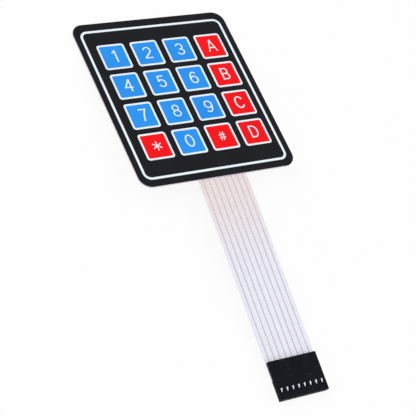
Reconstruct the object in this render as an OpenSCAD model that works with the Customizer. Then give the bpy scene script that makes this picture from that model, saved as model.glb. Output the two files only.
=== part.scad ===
// Flat membrane keypad: sixteen printed keys, a film tail and a socket connector.
// Millimetres. The origin is the middle of the pad's rear face, +Z faces the user
// and +Y points to the first row of keys. The tail leaves the lower edge and droops.

/* [Pad outline] */
// Width of the pad
pad_w = 69.2; // [66:0.1:80]
// Height of the pad
pad_h = 76.9; // [74:0.1:90]
// Corner radius of the pad
pad_corner_r = 5; // [2:0.5:8]

/* [Layers] */
// Thickness of the release liner on the back
liner_t = 0.1; // [0.06:0.01:0.2]
// Distance from the pad's middle to the slit that lets the liner be peeled
liner_slit_x = 11.5; // [8:0.5:20]
// Width of the slit
liner_slit_w = 0.1; // [0.05:0.05:0.3]
// Thickness of the adhesive under the circuit
rear_adhesive_t = 0.1; // [0.05:0.01:0.2]
// Thickness of the lower circuit film and its tail
lower_film_t = 0.125; // [0.075:0.005:0.2]
// Thickness of the spacer between the two circuits
spacer_t = 0.15; // [0.1:0.01:0.3]
// Thickness of the upper circuit film
upper_film_t = 0.1; // [0.075:0.005:0.2]
// Thickness of the adhesive under the overlay
overlay_adhesive_t = 0.05; // [0.03:0.01:0.1]
// Thickness of the graphic overlay
overlay_t = 0.175; // [0.125:0.005:0.3]
// Depth of the printed colour fields in the overlay
ink_t = 0.04; // [0.02:0.01:0.08]
// Thickness of the silver conductors
silver_t = 0.04; // [0.015:0.005:0.045]

/* [White frame line] */
// Width of the line
frame_line_w = 1; // [0.6:0.1:1.6]
// Black margin left and right of the line
frame_side_gap = 2.5; // [1.5:0.1:3.5]
// Black margin above the line
frame_top_gap = 3.4; // [2:0.1:5]
// Black margin below the line
frame_bottom_gap = 3; // [2:0.1:5]
// Outer corner radius of the line
frame_corner_r = 3.3; // [2:0.1:5]

/* [Keys] */
// Side of a key's colour field
key_field = 10.4; // [8:0.1:11.5]
// Width of the white border round a field
key_border = 0.8; // [0.4:0.1:1.2]
// Outer corner radius of the border
key_corner_r = 1.2; // [0.6:0.1:2]
// Corner radius of the colour field
field_corner_r = 0.5; // [0.2:0.1:1]
// Distance between neighbouring columns
key_pitch_x = 14.67; // [13.5:0.01:15.5]
// Distance between neighbouring rows
key_pitch_y = 14.3; // [13.5:0.01:15.5]
// Shift of the key block to the right
key_shift_x = 0.6; // [-1:0.1:1]
// Shift of the key block upwards
key_shift_y = 0.3; // [-1:0.1:1]

/* [Circuit] */
// Diameter of a printed contact under a key
contact_d = 6.4; // [5:0.1:8]
// Gap between a contact and the wall of its cell
cell_gap = 1.3; // [0.6:0.1:1.5]
// Width of the air vents between the cells
vent_w = 1.6; // [1:0.1:2]
// Width of a conductor line
line_w = 0.5; // [0.4:0.05:1]
// Distance between neighbouring lines beside the keys
lane_pitch = 1.3; // [1.1:0.1:1.6]
// Distance from the cells to the nearest line
lane_gap = 1; // [0.6:0.1:1.6]
// Diameter of a transfer dot between the two circuits
transfer_d = 1.4; // [1:0.1:1.6]
// Width of silver round a transfer dot
transfer_ring = 0.25; // [0.2:0.05:0.3]

/* [Tail] */
// Width of the tail
tail_w = 21.4; // [19.5:0.1:24]
// Length of the tail between the pad and the connector
tail_l = 74.5; // [45:0.5:120]
// Level length where the tail leaves the pad
tail_lead = 1; // [0.5:0.5:15]
// Angle by which the tail droops after its bend
tail_droop = 9; // [3:1:45]
// Inner radius of the bend
bend_r = 20; // [10:1:30]
// Thickness of the cover film over the tail's lines
cover_t = 0.1; // [0.05:0.01:0.15]
// Length of cover film inside the connector
cover_insert = 0.6; // [0.3:0.1:0.8]

/* [Connector housing] */
// Distance between neighbouring contacts
pin_pitch = 2.54; // [2.5:0.01:2.6]
// Length of the housing
housing_l = 14.8; // [13.5:0.1:16]
// Extra width beyond the contact spaces, each side
housing_end = 0.3; // [0:0.05:0.8]
// Thickness under the contacts
floor_t = 0.4; // [0.3:0.05:0.8]
// Thickness over the contacts
roof_t = 0.5; // [0.3:0.05:0.8]
// Radius of the housing's long edges
housing_edge_r = 0.3; // [0.1:0.05:0.5]
// Thickness of the wall at the mating end
front_wall = 0.8; // [0.5:0.1:1.2]
// Depth of the slot that takes the film
slot_depth = 7; // [5:0.1:7.5]
// Distance from the mating end to the middle of a window
window_from_front = 3.7; // [3:0.1:4.5]
// Length of a window
window_l = 1.9; // [1.6:0.1:2.6]
// Width of a window
window_w = 1.1; // [0.9:0.05:1.4]
// Side of a square pin entry
entry_w = 0.9; // [0.75:0.05:1.1]
// Width of the lead-in chamfer round a pin entry
entry_chamfer = 0.3; // [0.1:0.05:0.4]

/* [Contacts] */
// Thickness of the sheet metal
sheet_t = 0.2; // [0.15:0.01:0.25]
// Width of the socket box
box_w = 1.8; // [1.6:0.05:2]
// Height of the socket box
box_h = 1.6; // [1.4:0.05:2]
// Clearance of contact and film in the housing
fit_gap = 0.06; // [0.02:0.01:0.1]
// Length of the latch tab
tab_l = 1.3; // [0.9:0.1:1.5]
// Width of the latch tab
tab_w = 0.65; // [0.5:0.05:0.8]
// Rise of the latch tab into its window
tab_rise = 0.35; // [0.2:0.05:0.4]
// Height of the spring leaf's bow in the box
leaf_rise = 0.4; // [0.2:0.05:0.5]
// Width of the spring leaf
leaf_w = 0.9; // [0.6:0.05:1.1]
// Pairs of crimp tines on a contact
tine_pairs = 3; // [2:1:3]
// Length of one tine along the tail
tine_l = 0.8; // [0.5:0.1:1.2]
// Clearance of a tine in the film and beside its line
tine_gap = 0.03; // [0.02:0.01:0.06]
// Clearance of the crimp above and below the film
crimp_gap = 0.005; // [0.002:0.001:0.01]

/* [Hidden] */
// Colour of each key, row by row from the top: b is blue and r is red
LAYOUT = ["bbbr", "bbbr", "bbbr", "rbrr"];
ROWS = len(LAYOUT);
COLS = len(LAYOUT[0]);
PINS = ROWS + COLS;

$fn = 96;
// Steps of the tail's bend
BEND_STEPS = 12;
// Length by which a cut runs past the face that it opens
CUT = 1;
// Length by which the tail's film and lines run into those of the pad, which they are one with
LAP = 2;

// Heights of the layers above the rear face
rear_adhesive_z = liner_t;
lower_film_z = rear_adhesive_z + rear_adhesive_t;
spacer_z = lower_film_z + lower_film_t;
upper_film_z = spacer_z + spacer_t;
overlay_adhesive_z = upper_film_z + upper_film_t;
overlay_z = overlay_adhesive_z + overlay_adhesive_t;
ink_z = overlay_z + overlay_t - ink_t;
upper_silver_z = upper_film_z - silver_t;

// Key grid
function key_x(i) = key_shift_x + (i - (COLS - 1) / 2) * key_pitch_x;
function key_y(j) = key_shift_y + ((ROWS - 1) / 2 - j) * key_pitch_y;
key_outer = key_field + 2 * key_border;
cell_d = contact_d + 2 * cell_gap;

// Lines of the circuit: rows run down the left margin, columns down between the keys
function pin_x(k) = (k - (PINS - 1) / 2) * pin_pitch;
function row_lane_x(j) = key_x(0) - cell_d / 2 - lane_gap - (ROWS - 1 - j) * lane_pitch;
function lane_y(n) = key_y(ROWS - 1) - cell_d / 2 - lane_gap - n * lane_pitch;
function column_turn(i) = 1 - min(i, COLS - 1 - i);
transfer_y = lane_y(ROWS);
transfer_pad_d = transfer_d + 2 * transfer_ring;

// Tail: a level lead, a bend, then a straight run to the connector
tail_root_y = -pad_h / 2;
bend_y = tail_root_y - tail_lead;
tail_run = round(100 * (tail_l - tail_lead - PI * bend_r * tail_droop / 180)) / 100;

// Connector, measured from the tail's end: the film's rear face is z 0, the mating end is -y
film_insert = slot_depth - fit_gap;
crimp_start = cover_insert + fit_gap;
tine_x = line_w / 2 + 2 * tine_gap;
tine_pitch = (film_insert - crimp_start) / tine_pairs;
fold_z = lower_film_t + silver_t + crimp_gap;
box_top = box_h - sheet_t;
box_end = housing_l - front_wall - fit_gap;
cavity_w = box_w + 2 * fit_gap;
cavity_top = box_top + fit_gap;
slot_h = lower_film_t + cover_t + 2 * fit_gap;
housing_w = PINS * pin_pitch + 2 * housing_end;
housing_bottom = -sheet_t - floor_t;
housing_top = cavity_top + roof_t;
window_y = window_from_front - housing_l;

// Flat shapes

module rounded_rect(w, h, r) {
    square([w - 2 * r, h], center = true);
    square([w, h - 2 * r], center = true);
    for (sx = [-1, 1], sy = [-1, 1])
        translate([sx * (w / 2 - r), sy * (h / 2 - r)]) circle(r);
}

module pad_outline() rounded_rect(pad_w, pad_h, pad_corner_r);

module frame_line() {
    w = pad_w - 2 * frame_side_gap;
    h = pad_h - frame_top_gap - frame_bottom_gap;
    translate([0, (frame_bottom_gap - frame_top_gap) / 2]) difference() {
        rounded_rect(w, h, frame_corner_r);
        rounded_rect(w - 2 * frame_line_w, h - 2 * frame_line_w, frame_corner_r - frame_line_w);
    }
}

module at_keys(colours) {
    for (j = [0:ROWS - 1], i = [0:COLS - 1])
        if (len(search(LAYOUT[j][i], colours)) > 0)
            translate([key_x(i), key_y(j)]) children();
}

module key_outline() rounded_rect(key_outer, key_outer, key_corner_r);

module key_colour() rounded_rect(key_field, key_field, field_corner_r);

// A conductor line through the points, with round corners
module line(points) {
    for (n = [0:len(points) - 2]) {
        step = points[n + 1] - points[n];
        translate(points[n]) {
            circle(d = line_w);
            rotate(atan2(step.y, step.x)) translate([0, -line_w / 2]) square([norm(step), line_w]);
        }
    }
}

module row_plan(j) {
    lane = lane_y(ROWS - 1 - j);
    for (i = [0:COLS - 1]) translate([key_x(i), key_y(j)]) circle(d = contact_d);
    line([
        [key_x(COLS - 1), key_y(j)],
        [row_lane_x(j), key_y(j)],
        [row_lane_x(j), lane],
        [pin_x(j), lane],
        [pin_x(j), tail_root_y]
    ]);
}

module column_plan(i) {
    lane = lane_y(column_turn(i));
    pin = pin_x(ROWS + i);
    for (j = [0:ROWS - 1]) translate([key_x(i), key_y(j)]) circle(d = contact_d);
    line([[key_x(i), key_y(0)], [key_x(i), lane], [pin, lane], [pin, transfer_y]]);
    translate([pin, transfer_y]) circle(d = transfer_pad_d);
}

module lead_plan(i) {
    pin = pin_x(ROWS + i);
    translate([pin, transfer_y]) circle(d = transfer_pad_d);
    line([[pin, transfer_y], [pin, tail_root_y]]);
}

// A sheet of the pad's outline
module sheet(z, t) translate([0, 0, z]) linear_extrude(t) pad_outline();

// Tail

// The middle of the bend, from which the tail's lead, bend and run are measured
module at_bend() translate([0, bend_y, lower_film_z - bend_r]) children();

module at_tail_end()
    at_bend() rotate([tail_droop, 0, 0]) translate([0, -tail_run, bend_r]) children();

// A strip of sheet across the width, from a profile in y and z
module across(w) rotate([90, 0, 90]) linear_extrude(w, center = true) children();

// One face of the tail in side view, at radius r, from a place in the pad to one in the connector
function bend_point(r, angle) = r * [-sin(angle), cos(angle)];
function tail_face(r, lap, reach) = concat(
    [[tail_lead + lap, r]],
    [for (n = [0:BEND_STEPS]) bend_point(r, n * tail_droop / BEND_STEPS)],
    [for (s = [0, cover_insert, film_insert]) if (s <= reach)
        bend_point(r, tail_droop) - (tail_run + s) * [cos(tail_droop), sin(tail_droop)]]
);

// Side view of one layer of the tail, from radius r outwards
module tail_profile(r, t, lap, reach) {
    outer = tail_face(r + t, lap, reach);
    polygon(concat(tail_face(r, lap, reach), [for (n = [len(outer) - 1:-1:0]) outer[n]]));
}

// A strip of the tail, centred on x and starting at height z above the film's rear face
module tail_strip(x, w, z, t, lap, reach)
    at_bend() translate([x, 0, 0]) across(w) tail_profile(bend_r + z, t, lap, reach);

module tail_line(k) tail_strip(pin_x(k), line_w, lower_film_t, silver_t, LAP, film_insert);

// The crimp tines of contact k, grown by a clearance
module tine_legs(gap, top) {
    for (n = [0:tine_pairs - 1], side = [-1, 1]) {
        y = -crimp_start - (n + 0.5) * tine_pitch;
        translate([side * (tine_x + sheet_t / 2), y, (top - sheet_t) / 2])
            cube([sheet_t + 2 * gap, tine_l + 2 * gap, top + sheet_t], center = true);
    }
}

// Pad layers

// The liner's half on the left (side -1) or right (side 1) of its slit
module release_liner(side) color("#e8e4dc") intersection() {
    sheet(0, liner_t);
    translate([liner_slit_x + side * (pad_w + liner_slit_w / 2), 0, 0])
        cube([2 * pad_w, 2 * pad_h, 2 * CUT], center = true);
}

module rear_adhesive() color("#f4f1ea") sheet(rear_adhesive_z, rear_adhesive_t);

module lower_circuit_film() color("#f0ecec") {
    sheet(lower_film_z, lower_film_t);
    difference() {
        tail_strip(0, tail_w, 0, lower_film_t, LAP, film_insert);
        at_tail_end() for (k = [0:PINS - 1])
            translate([pin_x(k), 0, 0]) tine_legs(tine_gap, lower_film_t + CUT);
    }
}

module spacer() color("#e6e2dc") difference() {
    sheet(spacer_z, spacer_t);
    translate([0, 0, spacer_z - CUT]) linear_extrude(spacer_t + 2 * CUT) {
        at_keys("br") circle(d = cell_d);
        for (j = [0:ROWS - 1])
            translate([key_x(0), key_y(j) - vent_w / 2])
                square([key_x(COLS - 1) - key_x(0), vent_w]);
        translate([key_x(COLS - 1) - vent_w / 2, key_y(ROWS - 1)])
            square([vent_w, key_y(0) - key_y(ROWS - 1)]);
        for (i = [0:COLS - 1])
            translate([pin_x(ROWS + i), transfer_y]) circle(d = transfer_pad_d);
    }
    translate([0, 0, spacer_z]) linear_extrude(silver_t) {
        for (j = [0:ROWS - 1]) row_plan(j);
        for (i = [0:COLS - 1]) lead_plan(i);
    }
    translate([0, 0, upper_silver_z]) linear_extrude(silver_t)
        for (i = [0:COLS - 1]) column_plan(i);
}

module upper_circuit_film() color("#ece8e4") sheet(upper_film_z, upper_film_t);

module overlay_adhesive() color("#dcdce0") sheet(overlay_adhesive_z, overlay_adhesive_t);

module graphic_overlay() color("#212126") difference() {
    sheet(overlay_z, overlay_t);
    translate([0, 0, ink_z]) linear_extrude(ink_t + CUT) {
        frame_line();
        at_keys("br") key_outline();
    }
}

module white_line_print() color("#eef2fb") translate([0, 0, ink_z]) linear_extrude(ink_t) {
    frame_line();
    at_keys("br") difference() {
        key_outline();
        key_colour();
    }
}

module key_print(colours) translate([0, 0, ink_z]) linear_extrude(ink_t)
    at_keys(colours) key_colour();

module blue_key_print() color("#3290eb") key_print("b");

module red_key_print() color("#fa191e") key_print("r");

// Circuit

module row_conductor(j) color("#b9b3b6") {
    translate([0, 0, spacer_z]) linear_extrude(silver_t) row_plan(j);
    tail_line(j);
}

module column_conductor(i) color("#b9b3b6")
    translate([0, 0, upper_silver_z]) linear_extrude(silver_t) column_plan(i);

module transfer_dot(i) color("#9c979a")
    translate([pin_x(ROWS + i), transfer_y, spacer_z + silver_t])
        cylinder(d = transfer_d, h = spacer_t - 2 * silver_t);

module column_lead(i) color("#b9b3b6") {
    translate([0, 0, spacer_z]) linear_extrude(silver_t) lead_plan(i);
    tail_line(ROWS + i);
}

module tail_cover_film() color("#f6f3f4") difference() {
    tail_strip(0, tail_w, lower_film_t, cover_t, 0, cover_insert);
    for (k = [0:PINS - 1])
        tail_strip(pin_x(k), line_w, lower_film_t / 2, lower_film_t / 2 + silver_t, LAP, film_insert);
}

// Connector

// A square funnel into the mating end, wide at y 0 and narrowing inwards
module lead_in() {
    half = entry_w / 2;
    depth = entry_chamfer;
    length = entry_w + 2 * entry_chamfer;
    intersection_for (turn = [0, 90]) rotate([0, turn, 0])
        linear_extrude(length, center = true)
            polygon([[-half - depth, 0], [half + depth, 0], [half, depth], [-half, depth]]);
}

module connector_housing() color("#191c23") at_tail_end() difference() {
    rotate([90, 0, 0]) linear_extrude(housing_l)
        translate([0, (housing_top + housing_bottom) / 2])
            rounded_rect(housing_w, housing_top - housing_bottom, housing_edge_r);
    translate([-housing_w, -slot_depth, -fit_gap]) cube([2 * housing_w, slot_depth + CUT, slot_h]);
    for (k = [0:PINS - 1]) translate([pin_x(k), 0, 0]) {
        translate([-cavity_w / 2, front_wall - housing_l, -sheet_t])
            cube([cavity_w, housing_l - front_wall + CUT, cavity_top + sheet_t]);
        translate([-window_w / 2, window_y - window_l / 2, box_top])
            cube([window_w, window_l, housing_top - box_top + CUT]);
        translate([0, -housing_l, box_h / 2 - sheet_t]) {
            cube([entry_w, 2 * (front_wall + CUT), entry_w], center = true);
            lead_in();
        }
    }
}

module socket_box() {
    tab_front = window_y - tab_l / 2;
    tab_rear = window_y + tab_l / 2;
    difference() {
        translate([-box_w / 2, -box_end, -sheet_t]) cube([box_w, box_end - slot_depth, box_h]);
        translate([sheet_t - box_w / 2, -box_end - CUT, 0])
            cube([box_w - 2 * sheet_t, box_end + CUT, box_h - 2 * sheet_t]);
        translate([-tab_w / 2 - fit_gap, tab_front, 0]) cube([tab_w + 2 * fit_gap, tab_l, box_h]);
    }
    across(tab_w) polygon([
        [tab_front - sheet_t, box_top - sheet_t],
        [tab_front, box_top - sheet_t],
        [tab_rear, box_top + tab_rise - sheet_t],
        [tab_rear, box_top + tab_rise],
        [tab_front, box_top],
        [tab_front - sheet_t, box_top]
    ]);
}

// A bowed leaf in the box: it leaves the floor at the rear and its tip points at the entry
module spring_leaf() {
    rear = -slot_depth;
    foot = rear - 2 * sheet_t;
    bow = -(slot_depth + box_end) / 2;
    tip = -box_end + 2 * sheet_t;
    across(leaf_w) polygon([
        [rear, -sheet_t], [foot, -sheet_t], [foot, 0], [bow, leaf_rise], [tip, leaf_rise / 2],
        [tip, leaf_rise / 2 + sheet_t], [bow, leaf_rise + sheet_t], [foot, sheet_t], [rear, sheet_t]
    ]);
}

module crimp() {
    fold_w = tine_x + sheet_t - tine_gap;
    translate([-tine_x - sheet_t, -slot_depth - sheet_t, -sheet_t])
        cube([2 * (tine_x + sheet_t), slot_depth + sheet_t - crimp_start, sheet_t - crimp_gap]);
    tine_legs(0, fold_z + sheet_t);
    for (n = [0:tine_pairs - 1], side = [-1, 1])
        translate([side * (tine_gap + fold_w / 2), -crimp_start - (n + 0.5) * tine_pitch, fold_z])
            translate([-fold_w / 2, -tine_l / 2, 0]) cube([fold_w, tine_l, sheet_t]);
}

module contact(k) color("#cfd2d8") at_tail_end() translate([pin_x(k), 0, 0]) {
    socket_box();
    spring_leaf();
    crimp();
}

release_liner(-1);  // release_liner_left
release_liner(1);  // release_liner_right
rear_adhesive();
lower_circuit_film();
spacer();
upper_circuit_film();
overlay_adhesive();
graphic_overlay();
white_line_print();
blue_key_print();
red_key_print();
tail_cover_film();
connector_housing();
for (j = [0:ROWS - 1])
    row_conductor(j);
for (i = [0:COLS - 1]) {
    column_conductor(i);
    transfer_dot(i);
    column_lead(i);
}
for (k = [0:PINS - 1])
    contact(k);
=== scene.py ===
"""Looks of a flat membrane keypad: printed overlay, film tail and socket connector.

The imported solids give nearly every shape, in metres. This script dresses them, prints the legends
on the keys, lays the tail's cover film, and sets the floor, the lights and the camera.
"""
import logging
import math
from dataclasses import dataclass
from enum import Enum
from typing import ClassVar, Iterable, Mapping, Sequence

import bmesh
import bpy
from mathutils import Matrix, Vector


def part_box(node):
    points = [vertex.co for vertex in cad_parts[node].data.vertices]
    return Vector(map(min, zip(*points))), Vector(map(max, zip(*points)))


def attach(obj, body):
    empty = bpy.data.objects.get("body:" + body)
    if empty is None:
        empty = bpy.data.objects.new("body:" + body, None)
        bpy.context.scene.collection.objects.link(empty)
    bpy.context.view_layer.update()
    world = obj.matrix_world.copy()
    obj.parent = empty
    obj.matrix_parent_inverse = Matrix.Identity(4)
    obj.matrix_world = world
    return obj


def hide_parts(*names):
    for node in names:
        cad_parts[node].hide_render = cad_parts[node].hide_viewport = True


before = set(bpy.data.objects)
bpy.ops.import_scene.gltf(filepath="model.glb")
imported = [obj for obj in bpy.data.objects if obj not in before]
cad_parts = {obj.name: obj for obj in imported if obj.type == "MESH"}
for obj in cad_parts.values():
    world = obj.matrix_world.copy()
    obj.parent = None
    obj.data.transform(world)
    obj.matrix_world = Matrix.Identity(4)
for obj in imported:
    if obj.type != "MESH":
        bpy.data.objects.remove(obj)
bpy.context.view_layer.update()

BODY = "root"
MM = 0.001
LOG = logging.getLogger("membrane_keypad")

Point = tuple[float, float]
Place = tuple[float, float, float]
Colour = tuple[float, float, float, float]

WHITE: Colour = (1.0, 1.0, 1.0, 1.0)
BLACK: Colour = (0.0, 0.0, 0.0, 1.0)


def ink(red: int, green: int, blue: int) -> Colour:
    """Turn a colour as it is seen on a screen, 0 to 255, into linear values.

    Args:
        red: Red share.
        green: Green share.
        blue: Blue share.

    Returns:
        Linear red, green, blue and a full alpha.
    """
    def linear(share: int) -> float:
        """Undo the screen's curve for one share."""
        value = share / 255.0
        return value / 12.92 if value <= 0.04045 else ((value + 0.055) / 1.055) ** 2.4

    return (linear(red), linear(green), linear(blue), 1.0)


class Slot(Enum):
    """Names of two material slots, which nothing in this script reads."""

    WHITE_INK = "ink_white"
    COVER_FILM = "cover_film"


class Graph:
    """A node tree with short calls for placing nodes and joining their sockets."""

    # Sockets of a mix node that blends colours: the two colours, and the result
    MIXED = (6, 7)
    BLENDED = 2

    def __init__(self, tree: bpy.types.NodeTree) -> None:
        """Keep the tree and empty it."""
        self.tree = tree
        tree.nodes.clear()

    def add(
        self, kind: str, values: Mapping[str | int, object] | None = None, **settings: object
    ) -> bpy.types.Node:
        """Place a node.

        Args:
            kind: Type name of the node.
            values: Plain values of its inputs, by name or number.
            settings: Settings of the node itself.

        Returns:
            The new node.
        """
        node = self.tree.nodes.new(kind)
        for name, setting in settings.items():
            setattr(node, name, setting)
        for name, value in (values or {}).items():
            node.inputs[name].default_value = value
        return node

    def join(self, source: bpy.types.NodeSocket, target: bpy.types.NodeSocket) -> None:
        """Join an output to an input."""
        self.tree.links.new(source, target)

    def feed(self, given: object, target: bpy.types.NodeSocket) -> None:
        """Give an input a socket to read or a plain value.

        Args:
            given: Socket or value.
            target: The input.
        """
        if isinstance(given, bpy.types.NodeSocket):
            self.join(given, target)
        else:
            target.default_value = given

    def math(self, operation: str, first: object, second: object) -> bpy.types.NodeSocket:
        """Place a math node between two sockets or numbers.

        Args:
            operation: Name of the operation.
            first: Socket or number of the first input.
            second: Socket or number of the second input.

        Returns:
            The result's socket.
        """
        node = self.add("ShaderNodeMath", operation=operation)
        for place, given in enumerate((first, second)):
            self.feed(given, node.inputs[place])
        return node.outputs[0]

    def blend(
        self, share: bpy.types.NodeSocket, first: object, second: object
    ) -> bpy.types.NodeSocket:
        """Blend two colours.

        Args:
            share: Share of the second colour.
            first: Socket or colour.
            second: Socket or colour.

        Returns:
            The blended colour's socket.
        """
        node = self.add("ShaderNodeMix", data_type="RGBA")
        self.join(share, node.inputs[0])
        for place, given in zip(self.MIXED, (first, second)):
            self.feed(given, node.inputs[place])
        return node.outputs[self.BLENDED]

    def facing(self, axis: str) -> bpy.types.NodeSocket:
        """Read how far the surface faces along one of the object's own axes.

        Args:
            axis: Name of the axis.

        Returns:
            The socket of that share of the normal.
        """
        place = self.add("ShaderNodeTexCoord")
        split = self.add("ShaderNodeSeparateXYZ")
        self.join(place.outputs["Normal"], split.inputs["Vector"])
        return split.outputs[axis]

    def spread(
        self, value: bpy.types.NodeSocket, low: float, high: float, smooth: bool = True
    ) -> bpy.types.Node:
        """Stretch a value's span from low to high over 0 to 1.

        Args:
            value: Socket to stretch.
            low: Value that becomes 0.
            high: Value that becomes 1.
            smooth: Whether the ends ease in and out.

        Returns:
            The map range node, whose target span can still be changed.
        """
        kind = "SMOOTHSTEP" if smooth else "LINEAR"
        node = self.add(
            "ShaderNodeMapRange", {"From Min": low, "From Max": high}, interpolation_type=kind
        )
        self.join(value, node.inputs["Value"])
        return node


class Effect:
    """A shader node group that several finishes place with their own values."""

    name = "effect"
    inlets: Sequence[tuple[str, str]] = ()
    outlets: Sequence[tuple[str, str]] = ()
    FLOAT = "NodeSocketFloat"
    COLOUR = "NodeSocketColor"
    # The part of a noise's span that holds most of its values
    CORE = (0.35, 0.65)

    @classmethod
    def tree(cls) -> bpy.types.NodeTree:
        """Build the group on its first use.

        Returns:
            The group's node tree.
        """
        found = bpy.data.node_groups.get(cls.name)
        if found is not None:
            return found
        tree = bpy.data.node_groups.new(cls.name, "ShaderNodeTree")
        for direction, sockets in (("INPUT", cls.inlets), ("OUTPUT", cls.outlets)):
            for name, kind in sockets:
                tree.interface.new_socket(name=name, in_out=direction, socket_type=kind)
        graph = Graph(tree)
        inlet = graph.add("NodeGroupInput")
        outlet = graph.add("NodeGroupOutput")
        cls.fill(graph, inlet, outlet)
        return tree

    @classmethod
    def fill(cls, graph: Graph, inlet: bpy.types.Node, outlet: bpy.types.Node) -> None:
        """Place the group's own nodes.

        Args:
            graph: The group's graph.
            inlet: Node that gives the group's inputs.
            outlet: Node that takes the group's outputs.
        """
        raise NotImplementedError

    @classmethod
    def place(cls, graph: Graph, **values: object) -> bpy.types.Node:
        """Place the group in a material.

        Args:
            graph: The material's graph.
            values: Values of the group's inputs, with _ for a space.

        Returns:
            The group node.
        """
        node = graph.add("ShaderNodeGroup", node_tree=cls.tree())
        for name, value in values.items():
            node.inputs[name.replace("_", " ")].default_value = value
        return node


class SurfaceGrain(Effect):
    """A fine even grain, for bumps and for roughness."""

    name = "surface_grain"
    inlets = (("Scale", Effect.FLOAT), ("Smooth", Effect.FLOAT), ("Rough", Effect.FLOAT))
    outlets = (("Height", Effect.FLOAT), ("Roughness", Effect.FLOAT))
    NOISE = {"Detail": 3.0, "Roughness": 0.55}
    SPAN = (0.3, 0.7)

    @classmethod
    def fill(cls, graph: Graph, inlet: bpy.types.Node, outlet: bpy.types.Node) -> None:
        """Place one noise and stretch it over the span of roughness.

        Args:
            graph: The group's graph.
            inlet: Node that gives the group's inputs.
            outlet: Node that takes the group's outputs.
        """
        place = graph.add("ShaderNodeTexCoord")
        noise = graph.add("ShaderNodeTexNoise", cls.NOISE)
        graph.join(place.outputs["Object"], noise.inputs["Vector"])
        graph.join(inlet.outputs["Scale"], noise.inputs["Scale"])
        span = graph.spread(noise.outputs["Fac"], *cls.SPAN, smooth=False)
        graph.join(inlet.outputs["Smooth"], span.inputs["To Min"])
        graph.join(inlet.outputs["Rough"], span.inputs["To Max"])
        graph.join(noise.outputs["Fac"], outlet.inputs["Height"])
        graph.join(span.outputs["Result"], outlet.inputs["Roughness"])


class TintDrift(Effect):
    """A slow drift between two tints over the surface."""

    name = "tint_drift"
    inlets = (("Tint", Effect.COLOUR), ("Other", Effect.COLOUR), ("Scale", Effect.FLOAT))
    outlets = (("Tint", Effect.COLOUR),)
    NOISE = {"Detail": 2.0}

    @classmethod
    def fill(cls, graph: Graph, inlet: bpy.types.Node, outlet: bpy.types.Node) -> None:
        """Place one wide noise and blend the tints by it.

        Args:
            graph: The group's graph.
            inlet: Node that gives the group's inputs.
            outlet: Node that takes the group's outputs.
        """
        place = graph.add("ShaderNodeTexCoord")
        noise = graph.add("ShaderNodeTexNoise", cls.NOISE)
        graph.join(place.outputs["Object"], noise.inputs["Vector"])
        graph.join(inlet.outputs["Scale"], noise.inputs["Scale"])
        share = graph.spread(noise.outputs["Fac"], *cls.CORE)
        tint = graph.blend(
            share.outputs["Result"], inlet.outputs["Tint"], inlet.outputs["Other"]
        )
        graph.join(tint, outlet.inputs["Tint"])


class LongStreaks(Effect):
    """Streaks that run along Y, as drawn film, rolled sheet and moulding flow have them."""

    name = "long_streaks"
    inlets = (("Across", Effect.FLOAT), ("Along", Effect.FLOAT))
    outlets = (("Streak", Effect.FLOAT),)
    NOISE = {"Scale": 1.0, "Detail": 3.0}

    @classmethod
    def fill(cls, graph: Graph, inlet: bpy.types.Node, outlet: bpy.types.Node) -> None:
        """Place a noise that is stretched along Y.

        Args:
            graph: The group's graph.
            inlet: Node that gives the group's inputs.
            outlet: Node that takes the group's outputs.
        """
        place = graph.add("ShaderNodeTexCoord")
        scale = graph.add("ShaderNodeCombineXYZ")
        for axis, name in (("X", "Across"), ("Y", "Along"), ("Z", "Along")):
            graph.join(inlet.outputs[name], scale.inputs[axis])
        stretched = graph.add("ShaderNodeVectorMath", operation="MULTIPLY")
        graph.join(place.outputs["Object"], stretched.inputs[0])
        graph.join(scale.outputs["Vector"], stretched.inputs[1])
        noise = graph.add("ShaderNodeTexNoise", cls.NOISE)
        graph.join(stretched.outputs["Vector"], noise.inputs["Vector"])
        span = graph.spread(noise.outputs["Fac"], *cls.CORE)
        graph.join(span.outputs["Result"], outlet.inputs["Streak"])


class PaintedTailReflection(Effect):
    """Painted reflection that changes the tint along the tail, from the pad's edge towards the
    connector: warm where the pad is mirrored, lavender where the sky is.
    """

    name = "painted_tail_reflection"
    inlets = (("Near", Effect.COLOUR), ("Far", Effect.COLOUR))
    outlets = (("Tint", Effect.COLOUR),)
    START_Y = -40 * MM
    END_Y = -82 * MM

    @classmethod
    def fill(cls, graph: Graph, inlet: bpy.types.Node, outlet: bpy.types.Node) -> None:
        """Blend the two tints by the place along Y.

        Args:
            graph: The group's graph.
            inlet: Node that gives the group's inputs.
            outlet: Node that takes the group's outputs.
        """
        place = graph.add("ShaderNodeTexCoord")
        split = graph.add("ShaderNodeSeparateXYZ")
        graph.join(place.outputs["Object"], split.inputs["Vector"])
        # painted reflection: the far tint's share grows from the pad's edge towards the connector
        share = graph.spread(split.outputs["Y"], cls.START_Y, cls.END_Y)
        tint = graph.blend(
            share.outputs["Result"], inlet.outputs["Near"], inlet.outputs["Far"]
        )
        graph.join(tint, outlet.inputs["Tint"])


@dataclass(frozen=True)
class Grain:
    """The fine grain of a surface.

    Attributes:
        scale: Grains per metre.
        smooth: Lowest roughness.
        rough: Highest roughness.
        depth: Height of the grain in metres.
    """

    scale: float
    smooth: float
    rough: float
    depth: float


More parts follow.
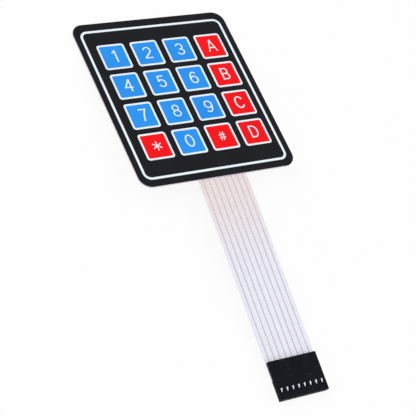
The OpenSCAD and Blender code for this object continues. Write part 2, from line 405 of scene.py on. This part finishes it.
@dataclass(frozen=True)
class Finish:
    """A surface finish. Its values that are the same all over stand on the shader itself.

    Attributes:
        name: Name of the material.
        specular: Strength of the mirror share.
        metallic: Share of metal.
    """

    name: str
    specular: float = 0.5
    metallic: float = 0.0

    GRAIN: ClassVar[Grain]

    def material(self) -> bpy.types.Material:
        """Build the finish's material on its first use.

        Returns:
            The material.
        """
        found = bpy.data.materials.get(self.name)
        if found is not None:
            return found
        material = bpy.data.materials.new(self.name)
        material.use_nodes = True
        graph = Graph(material.node_tree)
        outlet = graph.add("ShaderNodeOutputMaterial")
        shader = graph.add(
            "ShaderNodeBsdfPrincipled",
            {"Specular IOR Level": self.specular, "Metallic": self.metallic},
        )
        graph.join(shader.outputs["BSDF"], outlet.inputs["Surface"])
        graph.join(self.paint(graph, shader), shader.inputs["Base Color"])
        self.roughen(graph, shader)
        return material

    def paint(self, graph: Graph, shader: bpy.types.Node) -> bpy.types.NodeSocket:
        """Lay out the colour.

        Args:
            graph: The material's graph.
            shader: The shader, for what changes besides the colour.

        Returns:
            The colour's socket.
        """
        raise NotImplementedError

    def roughen(self, graph: Graph, shader: bpy.types.Node) -> None:
        """Give the shader the finish's grain, in its roughness and in its normal.

        Args:
            graph: The material's graph.
            shader: The shader.
        """
        grain = SurfaceGrain.place(
            graph, Scale=self.GRAIN.scale, Smooth=self.GRAIN.smooth, Rough=self.GRAIN.rough
        )
        bump = graph.add("ShaderNodeBump", {"Strength": 1.0, "Distance": self.GRAIN.depth})
        graph.join(grain.outputs["Height"], bump.inputs["Height"])
        graph.join(grain.outputs["Roughness"], shader.inputs["Roughness"])
        graph.join(bump.outputs["Normal"], shader.inputs["Normal"])


@dataclass(frozen=True)
class PrintedFilm(Finish):
    """Matt film with an even printed colour.

    Attributes:
        tint: Main colour.
        other: Colour that the print drifts to.
        drift: Waves of drift per metre.
    """

    tint: Colour = BLACK
    other: Colour = BLACK
    drift: float = 60.0

    GRAIN = Grain(scale=5200.0, smooth=0.46, rough=0.62, depth=0.01 * MM)

    def paint(self, graph: Graph, shader: bpy.types.Node) -> bpy.types.NodeSocket:
        """Drift the print between its two colours.

        Args:
            graph: The material's graph.
            shader: The shader.

        Returns:
            The colour's socket.
        """
        tint = TintDrift.place(graph, Tint=self.tint, Other=self.other, Scale=self.drift)
        return tint.outputs["Tint"]


@dataclass(frozen=True)
class MilkyFilm(Finish):
    """Milky polyester film that lets some of what is behind it show through.

    Attributes:
        near: Tint beside the pad, warmed by painted reflection of the pad.
        far: Tint beside the connector, made lavender by painted reflection of the sky.
        streak: Tint of the drawn streaks.
        streak_share: Strength of the streaks.
        cover: Share of light that the film itself returns.
        bonded: Whether its rear face lies on other film and returns nothing.
        across: Streaks per metre across the tail.
        along: Streaks per metre along the tail.
    """

    near: Colour = WHITE
    far: Colour = WHITE
    streak: Colour = WHITE
    streak_share: float = 0.3
    cover: float = 1.0
    bonded: bool = False
    across: float = 900.0
    along: float = 18.0

    GRAIN = Grain(scale=700.0, smooth=0.28, rough=0.4, depth=0.004 * MM)
    # A face that points up by less than this is the rear one
    REAR = -0.5

    def paint(self, graph: Graph, shader: bpy.types.Node) -> bpy.types.NodeSocket:
        """Paint a reflection that changes the tint along the tail, draw streaks and thin the film's
        front faces.

        Args:
            graph: The material's graph.
            shader: The shader.

        Returns:
            The colour's socket.
        """
        if self.cover < 1.0:
            side = graph.add("ShaderNodeNewGeometry")
            shown = graph.math("SUBTRACT", 1.0, side.outputs["Backfacing"])
            if self.bonded:
                upper = graph.math("GREATER_THAN", graph.facing("Z"), self.REAR)
                shown = graph.math("MULTIPLY", shown, upper)
            graph.join(graph.math("MULTIPLY", shown, self.cover), shader.inputs["Alpha"])
        # painted reflection: the tint goes from warm beside the pad to lavender towards the
        # connector
        painted_reflection = PaintedTailReflection.place(graph, Near=self.near, Far=self.far)
        streaks = LongStreaks.place(graph, Across=self.across, Along=self.along)
        share = graph.math("MULTIPLY", streaks.outputs["Streak"], self.streak_share)
        return graph.blend(share, painted_reflection.outputs["Tint"], self.streak)


@dataclass(frozen=True)
class SilverInk(Finish):
    """Matt silver print with the flecks of its filler.

    Attributes:
        near: Colour of the print beside the pad, lightened by painted reflection.
        far: Colour of the print beside the connector, which the painted reflection fades to.
        fleck: Colour of its darker flecks.
        fleck_share: Strength of the flecks.
        flecks: Flecks per metre.
    """

    near: Colour = WHITE
    far: Colour = WHITE
    fleck: Colour = WHITE
    fleck_share: float = 0.4
    flecks: float = 1500.0

    GRAIN = Grain(scale=9000.0, smooth=0.5, rough=0.7, depth=0.004 * MM)

    def paint(self, graph: Graph, shader: bpy.types.Node) -> bpy.types.NodeSocket:
        """Paint a reflection that fades along the tail over the print, and strew fine flecks over
        it.

        Args:
            graph: The material's graph.
            shader: The shader.

        Returns:
            The colour's socket.
        """
        # painted reflection: the lines are lighter and warmer beside the pad
        painted_reflection = PaintedTailReflection.place(graph, Near=self.near, Far=self.far)
        flecks = LongStreaks.place(graph, Across=self.flecks, Along=self.flecks)
        share = graph.math("MULTIPLY", flecks.outputs["Streak"], self.fleck_share)
        return graph.blend(share, painted_reflection.outputs["Tint"], self.fleck)


@dataclass(frozen=True)
class MouldedPlastic(Finish):
    """Moulded plastic with a spark-eroded texture and pale scuffs.

    Attributes:
        tint: Colour of the plastic.
        other: Colour of its flow marks.
        scuff: Colour of its scuffs.
        drift: Flow marks per metre.
        across: Scuffs per metre across the tail's direction.
        along: Scuffs per metre along it.
        sparse: Strength at which a streak begins to be a scuff.
        scuff_share: Strength of the scuffs.
    """

    tint: Colour = BLACK
    other: Colour = BLACK
    scuff: Colour = BLACK
    drift: float = 260.0
    across: float = 420.0
    along: float = 1900.0
    sparse: float = 0.93
    scuff_share: float = 0.25

    GRAIN = Grain(scale=4200.0, smooth=0.36, rough=0.56, depth=0.012 * MM)

    def paint(self, graph: Graph, shader: bpy.types.Node) -> bpy.types.NodeSocket:
        """Drift the tint and add sparse scuffs.

        Args:
            graph: The material's graph.
            shader: The shader.

        Returns:
            The colour's socket.
        """
        tint = TintDrift.place(graph, Tint=self.tint, Other=self.other, Scale=self.drift)
        streaks = LongStreaks.place(graph, Across=self.across, Along=self.along)
        scuffs = graph.spread(streaks.outputs["Streak"], self.sparse, 1.0)
        share = graph.math("MULTIPLY", scuffs.outputs["Result"], self.scuff_share)
        return graph.blend(share, tint.outputs["Tint"], self.scuff)


@dataclass(frozen=True)
class TinPlate(Finish):
    """Tin plate with rolling marks, bright on its raised tabs, with painted shade on its flat
    faces, which lie deep in the windows.

    Attributes:
        tint: Colour of the bright metal.
        dull: Colour in the rolling marks.
        recess_shade: Painted shade on the flat faces, which lie deep in the windows.
        across: Rolling marks per metre across the contact.
        along: Rolling marks per metre along it.
    """

    tint: Colour = WHITE
    dull: Colour = WHITE
    recess_shade: Colour = BLACK
    across: float = 9000.0
    along: float = 700.0

    GRAIN = Grain(scale=6000.0, smooth=0.2, rough=0.36, depth=0.003 * MM)
    # Lean of a face towards the mating end, from flat to raised
    LEAN = (0.22, 0.36)

    def paint(self, graph: Graph, shader: bpy.types.Node) -> bpy.types.NodeSocket:
        """Streak the metal along its length and paint shade on its flat faces.

        Args:
            graph: The material's graph.
            shader: The shader.

        Returns:
            The colour's socket.
        """
        streaks = LongStreaks.place(graph, Across=self.across, Along=self.along)
        bright = graph.blend(streaks.outputs["Streak"], self.tint, self.dull)
        # painted shade: faces that don't lean up towards the mating end take the dark tint, for the
        # shadow deep in the windows
        lean = graph.math("MULTIPLY", graph.facing("Y"), -1.0)
        raised = graph.spread(lean, *self.LEAN)
        return graph.blend(raised.outputs["Result"], self.recess_shade, bright)


@dataclass(frozen=True)
class LinerPaper(Finish):
    """Coated paper with faint fibres.

    Attributes:
        tint: Colour of the coating.
        fibre: Colour of the fibres.
        drift: Waves of drift per metre.
        across: Fibres per metre across the sheet.
        along: Fibres per metre along it.
        fibre_share: Strength of the fibres.
    """

    tint: Colour = WHITE
    fibre: Colour = WHITE
    drift: float = 90.0
    across: float = 1600.0
    along: float = 500.0
    fibre_share: float = 0.35

    GRAIN = Grain(scale=2600.0, smooth=0.6, rough=0.8, depth=0.008 * MM)

    def paint(self, graph: Graph, shader: bpy.types.Node) -> bpy.types.NodeSocket:
        """Lay fibres over a slow drift.

        Args:
            graph: The material's graph.
            shader: The shader.

        Returns:
            The colour's socket.
        """
        tint = TintDrift.place(graph, Tint=self.tint, Other=self.fibre, Scale=self.drift)
        streaks = LongStreaks.place(graph, Across=self.across, Along=self.along)
        share = graph.math("MULTIPLY", streaks.outputs["Streak"], self.fibre_share)
        return graph.blend(share, tint.outputs["Tint"], self.fibre)


OVERLAY_BLACK = PrintedFilm(
    "velvet_black_overlay", specular=0.085, tint=ink(18, 19, 24), other=ink(22, 23, 28)
)
WHITE_PRINT = PrintedFilm(
    "white_print", specular=0.2, tint=ink(239, 249, 255), other=ink(234, 245, 255)
)
BLUE_PRINT = PrintedFilm(
    "blue_print", specular=0.12, tint=ink(43, 150, 240), other=ink(38, 144, 236)
)
RED_PRINT = PrintedFilm(
    "red_print", specular=0.1, tint=ink(250, 14, 20), other=ink(242, 12, 18)
)
# The films' near and far tints are painted reflection: the pad mirrored warm at the tail's root,
# the sky mirrored lavender towards the connector.
CIRCUIT_FILM = MilkyFilm(
    "circuit_film_milky", near=ink(231, 217, 217), far=ink(229, 231, 249),
    streak=ink(222, 214, 226), streak_share=0.35, cover=0.92,
)
COVER_FILM = MilkyFilm(
    "cover_film_milky", near=ink(236, 223, 223), far=ink(236, 238, 251),
    streak=ink(230, 224, 232), streak_share=0.3, cover=0.4, bonded=True,
)
# The inner layers and adhesive are pale film. Their lavender darkening is painted shade along the
# pad's edge, where their sides show.
INNER_FILM_SHADED = MilkyFilm(
    "inner_film_painted_shade", near=ink(216, 212, 232), far=ink(216, 212, 232), streak=ink(206, 202, 222)
)
ADHESIVE_SHADED = MilkyFilm(
    "adhesive_layer_painted_shade", near=ink(226, 222, 236), far=ink(226, 222, 236), streak=ink(216, 212, 226)
)
# The silver lines' near and far colours are painted reflection, lighter beside the pad.
SILVER = SilverInk(
    "silver_print", specular=0.3,
    near=ink(202, 186, 181), far=ink(178, 160, 158), fleck=ink(166, 148, 146),
)
HOUSING = MouldedPlastic(
    "moulded_black_housing", specular=0.055,
    tint=ink(10, 12, 20), other=ink(13, 16, 24), scuff=ink(48, 52, 60),
)
# The dark tint on the contacts' flat faces is painted shade from the windows.
TIN = TinPlate(
    "bright_tin_plate", metallic=1.0,
    tint=ink(218, 218, 220), dull=ink(186, 187, 190), recess_shade=ink(52, 51, 52),
)
LINER = LinerPaper(
    "release_liner_paper", specular=0.3, tint=ink(236, 233, 226), fibre=ink(226, 221, 211)
)


def dress(finish: Finish, names: Iterable[str]) -> None:
    """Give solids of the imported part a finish.

    Args:
        finish: The finish.
        names: Names of the solids' nodes.
    """
    for name in names:
        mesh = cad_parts[name].data
        mesh.materials.clear()
        mesh.materials.append(finish.material())
        LOG.info("dressed %s with %s", name, finish.name)


def numbered(stem: str, count: int) -> list[str]:
    """Name the nodes of a repeated solid, counted from 1."""
    return [f"{stem}_{number}" for number in range(1, count + 1)]


def arc(
    centre: Point, radii: Point, start: float, end: float, steps: int = 20
) -> tuple[Point, ...]:
    """Lay points on part of an ellipse.

    Args:
        centre: Its middle.
        radii: Its half width and half height.
        start: First angle in degrees.
        end: Last angle in degrees; smaller than start runs clockwise.
        steps: Spaces between the points.

    Returns:
        The points in order.
    """
    turns = [math.radians(start + (end - start) * n / steps) for n in range(steps + 1)]
    return tuple(
        (centre[0] + radii[0] * math.cos(t), centre[1] + radii[1] * math.sin(t)) for t in turns
    )


def turned(points: Iterable[Point]) -> tuple[Point, ...]:
    """Turn points half way round the key's middle."""
    return tuple((-x, -y) for x, y in points)


class Pen(Enum):
    """Widths of a stroke where it runs upright and where it runs level, in millimetres."""

    PLAIN = (0.58, 0.48)
    BOLD = (0.64, 0.52)
    SLIM = (0.5, 0.46)
    THIN = (0.43, 0.43)
    FINE = (0.34, 0.34)


@dataclass(frozen=True)
class Stroke:
    """One stroke of a legend.

    Attributes:
        points: Its middle line in millimetres about the key's middle.
        closed: Whether its end meets its start.
        level: Whether its ends are cut level.
        pen: The pen that it is drawn with.
    """

    points: tuple[Point, ...]
    closed: bool = False
    level: bool = False
    pen: Pen = Pen.PLAIN

    # Furthest reach of a corner, in half widths, and the least turn that it is worked out from
    MITRE = 1.7
    LEAST_TURN = 0.1

    def edges(self) -> list[tuple[Vector, Vector]]:
        """Offset the middle line to both sides.

        Returns:
            A left and a right point for each point of the line.
        """
        line = [Vector(point) for point in self.points]
        if self.closed:
            line = line[:-1]
        count = len(line)
        pairs: list[tuple[Vector, Vector]] = []
        for place, point in enumerate(line):
            before = point - line[place - 1] if self.closed or place else None
            after = line[(place + 1) % count] - point if self.closed or place < count - 1 else None
            sides = [Vector((-d.y, d.x)).normalized() for d in (before, after) if d is not None]
            normal = sum(sides, Vector((0.0, 0.0))).normalized()
            turn = max(normal.dot(sides[0]), self.LEAST_TURN)
            reach = min(1.0 / turn, self.MITRE) / 2
            upright, across = self.pen.value
            offset = Vector((normal.x * upright, normal.y * across)) * reach
            left, right = point + offset, point - offset
            if self.level and len(sides) == 1:
                along = Vector((sides[0].y, -sides[0].x))
                left, right = (
                    corner + along * ((point.y - corner.y) / along.y) for corner in (left, right)
                )
            pairs.append((left, right))
        return pairs


# Half heights of a sign at a stroke's end and at a level stroke's middle, in millimetres
HALF_H = 2.9
LINE_H = 2.53


def legend_strokes() -> dict[str, tuple[Stroke, ...]]:
    """Draw the legends about the middle of a key, in millimetres.

    Returns:
        The strokes of each legend, by its sign.
    """
    loop = Stroke(arc((0, 0), (1.6, 2.58), 90, 450, 44), closed=True)
    six = (
        Stroke(arc((0, -0.98), (1.5, 1.55), 90, 450, 36), closed=True),
        Stroke(arc((0.2, -0.7), (1.7, 3.23), 52, 184, 26)),
    )
    bowls = (
        Stroke(arc((0, 1.26), (1.38, 1.27), 164, -90, 26) + ((-0.4, -0.01),)),
        Stroke(((-0.4, 0.02),) + arc((0, -1.26), (1.5, 1.27), 90, -164, 26)),
    )
    upright = Stroke(((-1.35, HALF_H), (-1.35, -HALF_H)))
    leg = ((-1.82, -HALF_H), (0, HALF_H))
    return {
        "0": (loop,),
        "1": (
            Stroke(((0.3, HALF_H), (0.3, -HALF_H))),
            Stroke(((-1.05, 1.5), (0.3, 2.45))),
        ),
        "2": (
            Stroke(
                arc((0, 1.05), (1.45, 1.48), 168, -34, 26)
                + ((-1.42, -2.2), (-1.5, -LINE_H), (1.6, -LINE_H))
            ),
        ),
        "3": bowls,
        "4": (
            Stroke(((0.7, HALF_H), (0.7, -HALF_H))),
            Stroke(((0.6, 2.5), (-1.68, -0.98), (1.85, -0.98))),
        ),
        "5": (
            Stroke(((1.35, LINE_H), (-1.0, LINE_H), (-1.24, -0.06))),
            Stroke(arc((0, -0.9), (1.5, 1.63), 146, -158, 30)),
        ),
        "6": six,
        "7": (
            Stroke(((-1.6, LINE_H), (1.5, LINE_H))),
            Stroke(
                ((1.5, HALF_H - 0.1), (0.55, 0.95), (-0.05, -0.8), (-0.4, -HALF_H)), level=True
            ),
        ),
        "8": (
            Stroke(arc((0, 1.3), (1.28, 1.23), 90, 450, 32), closed=True, pen=Pen.SLIM),
            Stroke(arc((0, -1.23), (1.5, 1.3), 90, 450, 36), closed=True, pen=Pen.SLIM),
        ),
        "9": tuple(Stroke(turned(s.points), s.closed) for s in six),
        "A": (
            Stroke(leg, level=True, pen=Pen.SLIM),
            Stroke(tuple((-x, y) for x, y in leg), level=True, pen=Pen.SLIM),
            Stroke(((-1.2, -1.0), (1.2, -1.0)), pen=Pen.SLIM),
        ),
        "B": (
            upright,
            Stroke(
                ((-1.35, LINE_H),) + arc((0.25, 1.3), (1.1, 1.23), 90, -90) + ((-1.35, 0.07),)
            ),
            Stroke(
                ((-1.35, 0.07),) + arc((0.35, -1.23), (1.2, 1.3), 90, -90) + ((-1.35, -LINE_H),)
            ),
        ),
        "C": (Stroke(arc((0, 0), (1.76, 2.62), 32, 328, 36), pen=Pen.BOLD),),
        "D": (
            Stroke(((-1.5, HALF_H), (-1.5, -HALF_H))),
            Stroke(
                ((-1.5, LINE_H),)
                + arc((-0.15, 0), (1.75, LINE_H), 90, -90, 26)
                + ((-1.5, -LINE_H),)
            ),
        ),
        "*": tuple(
            Stroke(arc((0, 0), (2.1, 2.1), turn, turn + 180, 1), pen=Pen.THIN)
            for turn in (90, 30, 150)
        ),
        "#": tuple(
            [
                Stroke(((x - 0.2, -1.9), (x + 0.2, 1.9)), level=True, pen=Pen.FINE)
                for x in (-0.56, 0.56)
            ]
            + [Stroke(((-1.4, y), (1.4, y)), pen=Pen.FINE) for y in (-0.66, 0.66)]
        ),
    }


@dataclass(frozen=True)
class KeyLegends:
    """The signs printed on the sixteen keys.

    Attributes:
        rows: Signs of the keys, row by row from the top.
        pitch: Distance between columns and between rows, in millimetres.
        shift: Place of the key block's middle, in millimetres.
        offset: Place of a sign from its key's middle, in millimetres.
        proud: Height of the print over the key's face, in millimetres.
        sunk: Depth of the print under the key's face, in millimetres.
        lap: Difference of height between strokes that cross, in millimetres.
    """

    rows: tuple[str, ...] = ("123A", "456B", "789C", "*0#D")
    pitch: Point = (14.67, 14.3)
    shift: Point = (0.6, 0.3)
    offset: Point = (0.24, 0.23)
    proud: float = 0.008
    sunk: float = 0.01
    lap: float = 0.0005

    NAMES = {"*": "star", "#": "hash"}
    # Extra shift of the signs that stand off the middle of their keys, in millimetres
    NUDGES = {
        "1": (0.15, 0.0), "2": (-0.12, 0.0), "7": (0.55, 0.0), "8": (0.35, 0.0), "9": (0.4, 0.0),
        "B": (-0.12, 0.0), "D": (-0.1, 0.0), "*": (0.15, -0.25),
    }

    def build(self) -> list[bpy.types.Object]:
        """Print every sign on its key.

        Returns:
            The legends' pieces.
        """
        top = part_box("blue_key_print")[1].z / MM
        strokes = legend_strokes()
        pieces = []
        for row, signs in enumerate(self.rows):
            for column, sign in enumerate(signs):
                nudge = self.NUDGES.get(sign, (0.0, 0.0))
                steps = (column - (len(signs) - 1) / 2, (len(self.rows) - 1) / 2 - row)
                middle = tuple(
                    self.shift[n] + self.offset[n] + nudge[n] + steps[n] * self.pitch[n]
                    for n in (0, 1)
                )
                pieces.append(self.sign(sign, strokes[sign], middle, top))
        return pieces

    def sign(
        self, sign: str, strokes: Sequence[Stroke], middle: Point, top: float
    ) -> bpy.types.Object:
        """Build one sign as a thin layer of ink.

        Args:
            sign: The sign.
            strokes: Its strokes.
            middle: Its middle in millimetres.
            top: Height of the key's face in millimetres.

        Returns:
            The piece.
        """
        points: list[Place] = []
        faces: list[list[int]] = []
        for layer, stroke in enumerate(strokes):
            pairs = stroke.edges()
            base = len(points)
            heights = (top - self.sunk, top + self.proud + layer * self.lap)
            for pair in pairs:
                for corner in pair:
                    x, y = middle[0] + corner.x, middle[1] + corner.y
                    points += [(x * MM, y * MM, height * MM) for height in heights]
            spans = len(pairs) if stroke.closed else len(pairs) - 1
            for span in range(spans):
                a, b = base + 4 * span, base + 4 * ((span + 1) % len(pairs))
                faces += [
                    [a + 1, a + 3, b + 3, b + 1],
                    [a + 2, a, b, b + 2],
                    [a, a + 1, b + 1, b],
                    [a + 3, a + 2, b + 2, b + 3],
                ]
            if not stroke.closed:
                last = base + 4 * (len(pairs) - 1)
                faces += [
                    [base, base + 2, base + 3, base + 1],
                    [last + 2, last, last + 1, last + 3],
                ]
        name = "legend_" + self.NAMES.get(sign, sign)
        mesh = bpy.data.meshes.new(name)
        mesh.from_pydata(points, [], faces)
        mesh.validate()
        mesh.materials.append(WHITE_PRINT.material())
        piece = bpy.data.objects.new(name, mesh)
        bpy.context.scene.collection.objects.link(piece)
        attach(piece, BODY)
        LOG.info("printed %s", name)
        return piece


@dataclass(frozen=True)
class PadLaminate:
    """The pad's layers, from the liner to the printed overlay.

    Attributes:
        keys_a_side: Rows, and columns, of keys.
    """

    keys_a_side: int = 4

    def dress(self) -> None:
        """Give each layer its finish."""
        dress(LINER, ("release_liner_left", "release_liner_right"))
        dress(ADHESIVE_SHADED, ("rear_adhesive", "overlay_adhesive"))
        dress(INNER_FILM_SHADED, ("spacer", "upper_circuit_film"))
        dress(OVERLAY_BLACK, ("graphic_overlay",))
        dress(WHITE_PRINT, ("white_line_print",))
        dress(BLUE_PRINT, ("blue_key_print",))
        dress(RED_PRINT, ("red_key_print",))
        for stem in ("column_conductor", "transfer_dot"):
            dress(SILVER, numbered(stem, self.keys_a_side))


@dataclass(frozen=True)
class FilmTail:
    """The film tail with its silver lines.

    Attributes:
        lines_a_side: Lines of the rows, and lines of the columns.
        cover: Thickness of the cover film above the lines, in millimetres.
        upper: Least share of a normal that points up on the cover film's upper face.
        weld: Distance at which corners of the cover film are one, in millimetres.
    """

    lines_a_side: int = 4
    cover: float = 0.04
    upper: float = 0.5
    weld: float = 0.001

    COVER_NODE = "tail_cover_film"

    def dress(self) -> None:
        """Give the film and its lines their finishes."""
        dress(CIRCUIT_FILM, ("lower_circuit_film",))
        for stem in ("row_conductor", "column_lead"):
            dress(SILVER, numbered(stem, self.lines_a_side))

    def build(self) -> bpy.types.Object:
        """Lay the cover film above the lines, a hair clear of them.

        The solid touches the lines face to face, which a render can't tell apart, so this sheet
        keeps its upper face and stops short of them.

        Returns:
            The sheet, which stands for the solid.
        """
        form = bmesh.new()
        form.from_mesh(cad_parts[self.COVER_NODE].data)
        bmesh.ops.remove_doubles(form, verts=form.verts[:], dist=self.weld * MM)
        others = [face for face in form.faces if face.normal.z < self.upper]
        bmesh.ops.delete(form, geom=others, context="FACES")
        bmesh.ops.solidify(form, geom=form.faces[:], thickness=self.cover * MM)
        mesh = bpy.data.meshes.new("cover_film_sheet")
        form.to_mesh(mesh)
        form.free()
        mesh.materials.append(COVER_FILM.material())
        sheet = bpy.data.objects.new("cover_film_sheet", mesh)
        bpy.context.scene.collection.objects.link(sheet)
        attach(sheet, BODY)
        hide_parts(self.COVER_NODE)
        LOG.info("laid cover_film_sheet")
        return sheet


@dataclass(frozen=True)
class SocketConnector:
    """The moulded housing with its crimped sockets.

    Attributes:
        sockets: Number of sockets.
    """

    sockets: int = 8

    def dress(self) -> None:
        """Give the housing and the sockets their finishes."""
        dress(HOUSING, ("connector_housing",))
        dress(TIN, numbered("contact", self.sockets))


@dataclass(frozen=True)
class Lamp:
    """A soft square lamp.

    Attributes:
        name: Name of the lamp.
        place: Where it stands, in metres.
        side: Side of its square, in metres.
        power: Power in watts.
    """

    name: str
    place: Place
    side: float
    power: float

    def build(self, aim: Vector) -> bpy.types.Object:
        """Make the lamp and turn it to a point.

        Args:
            aim: Point that it shines at.

        Returns:
            The lamp.
        """
        data = bpy.data.lights.new(self.name, "AREA")
        data.shape = "SQUARE"
        data.size = self.side
        data.energy = self.power
        lamp = bpy.data.objects.new(self.name, data)
        lamp.location = self.place
        lamp.rotation_euler = (aim - Vector(self.place)).to_track_quat("-Z", "Y").to_euler()
        bpy.context.scene.collection.objects.link(lamp)
        return lamp


@dataclass(frozen=True)
class Studio:
    """Pale floor, soft lights and the camera.

    Attributes:
        floor_high: Point of the floor under the pad's upper edge, y and z in metres.
        floor_half: Half of the floor's side in metres.
        floor_gap: Room between the floor and the part in metres.
        floor_tint: Colour of the floor.
        floor_glow: Share of the floor that is plain background to the camera.
        sky: Strength of the light from all round.
        aim: Point that the lamps shine at, in metres.
        eye: Place of the camera in metres.
        ahead: Direction that it looks in.
        upward: Direction of the picture's upper edge.
        lens: Focal length in millimetres.
        sensor: Width of the sensor in millimetres.
        nearest: Distance at which the camera begins to see, in metres.
    """

    floor_high: Point = (0.03845, 0.0)
    floor_half: float = 1.5
    floor_gap: float = 0.05 * MM
    floor_tint: Colour = (0.9, 0.9, 0.9, 1.0)
    floor_glow: float = 0.9
    sky: float = 0.62
    aim: Place = (0.0, -0.03, 0.0)
    eye: Place = (-0.31379, -0.29545, 0.44792)
    ahead: Place = (0.50934, 0.41262, -0.7552)
    upward: Place = (0.14583, 0.82348, 0.54828)
    lens: float = 137.74
    sensor: float = 36.0
    nearest: float = 0.01

    LAMPS = (
        Lamp("lamp_upper_left", (-0.55, 0.25, 0.75), 0.6, 2.8),
        Lamp("lamp_right", (0.7, -0.2, 0.7), 0.6, 1.7),
        Lamp("lamp_front", (-0.1, -0.9, 0.6), 0.5, 1.1),
    )

    def build(self) -> None:
        """Make the floor, the world, the lamps and the camera."""
        scene = bpy.context.scene
        scene.view_settings.view_transform = "Standard"
        self.floor()
        self.world(scene)
        for lamp in self.LAMPS:
            lamp.build(Vector(self.aim))
        scene.camera = self.camera()

    @staticmethod
    def background(graph: Graph) -> bpy.types.NodeSocket:
        """Tell rays that see the background: those of the camera, of gloss and of glass.

        Args:
            graph: The graph to place the nodes in.

        Returns:
            A socket that is 1 for such rays.
        """
        path = graph.add("ShaderNodeLightPath")
        gloss = graph.math(
            "MAXIMUM", path.outputs["Is Glossy Ray"], path.outputs["Is Transmission Ray"]
        )
        return graph.math("MAXIMUM", path.outputs["Is Camera Ray"], gloss)

    def floor(self) -> bpy.types.Object:
        """Lay a plain floor where the part would come to rest.

        Returns:
            The floor.
        """
        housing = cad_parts["connector_housing"]
        spots = [housing.matrix_world @ vertex.co for vertex in housing.data.vertices]
        start, level = self.floor_high
        rise = max((level - spot.z) / (start - spot.y) for spot in spots)
        corners = []
        for x, y in ((-1, -1), (1, -1), (1, 1), (-1, 1)):
            away = y * self.floor_half
            height = level + (away - start) * rise - self.floor_gap
            corners.append((x * self.floor_half, away, height))
        mesh = bpy.data.meshes.new("floor")
        mesh.from_pydata(corners, [], [(0, 1, 2, 3)])
        material = bpy.data.materials.new("pale_floor")
        material.use_nodes = True
        graph = Graph(material.node_tree)
        outlet = graph.add("ShaderNodeOutputMaterial")
        matt = graph.add("ShaderNodeBsdfDiffuse", {"Color": self.floor_tint})
        glow = graph.add("ShaderNodeEmission", {"Strength": 1.0})
        clear = graph.add("ShaderNodeBsdfTransparent")
        side = graph.add("ShaderNodeNewGeometry")
        plain = graph.add("ShaderNodeMixShader")
        share = graph.math("MULTIPLY", self.background(graph), self.floor_glow)
        graph.join(share, plain.inputs[0])
        graph.join(matt.outputs[0], plain.inputs[1])
        graph.join(glow.outputs[0], plain.inputs[2])
        one_sided = graph.add("ShaderNodeMixShader")
        graph.join(side.outputs["Backfacing"], one_sided.inputs[0])
        graph.join(plain.outputs[0], one_sided.inputs[1])
        graph.join(clear.outputs[0], one_sided.inputs[2])
        graph.join(one_sided.outputs[0], outlet.inputs["Surface"])
        mesh.materials.append(material)
        floor = bpy.data.objects.new("floor", mesh)
        bpy.context.scene.collection.objects.link(floor)
        return floor

    def world(self, scene: bpy.types.Scene) -> None:
        """Light the part evenly from all round, before a white background.

        Args:
            scene: The scene that gets the world.
        """
        world = bpy.data.worlds.new("studio_world")
        world.use_nodes = True
        graph = Graph(world.node_tree)
        outlet = graph.add("ShaderNodeOutputWorld")
        light = graph.add("ShaderNodeBackground", {"Color": WHITE, "Strength": self.sky})
        white = graph.add("ShaderNodeBackground", {"Color": WHITE, "Strength": 1.0})
        either = graph.add("ShaderNodeMixShader")
        graph.join(self.background(graph), either.inputs[0])
        graph.join(light.outputs[0], either.inputs[1])
        graph.join(white.outputs[0], either.inputs[2])
        graph.join(either.outputs[0], outlet.inputs["Surface"])
        scene.world = world

    def camera(self) -> bpy.types.Object:
        """Stand the camera where the photograph was taken from.

        Returns:
            The camera.
        """
        ahead = Vector(self.ahead).normalized()
        right = ahead.cross(Vector(self.upward)).normalized()
        upward = right.cross(ahead)
        data = bpy.data.cameras.new("camera")
        data.sensor_width = self.sensor
        data.lens = self.lens
        data.clip_start = self.nearest
        camera = bpy.data.objects.new("camera", data)
        turn = Matrix((right, upward, -ahead)).transposed().to_4x4()
        camera.matrix_world = Matrix.Translation(self.eye) @ turn
        bpy.context.scene.collection.objects.link(camera)
        return camera


def main() -> None:
    """Dress the part, print its legends and set the studio."""
    logging.basicConfig(level=logging.INFO, format="%(name)s: %(message)s")
    Studio().build()
    PadLaminate().dress()
    tail = FilmTail()
    tail.dress()
    tail.build()
    SocketConnector().dress()
    KeyLegends().build()


if __name__ == "__main__":
    main()
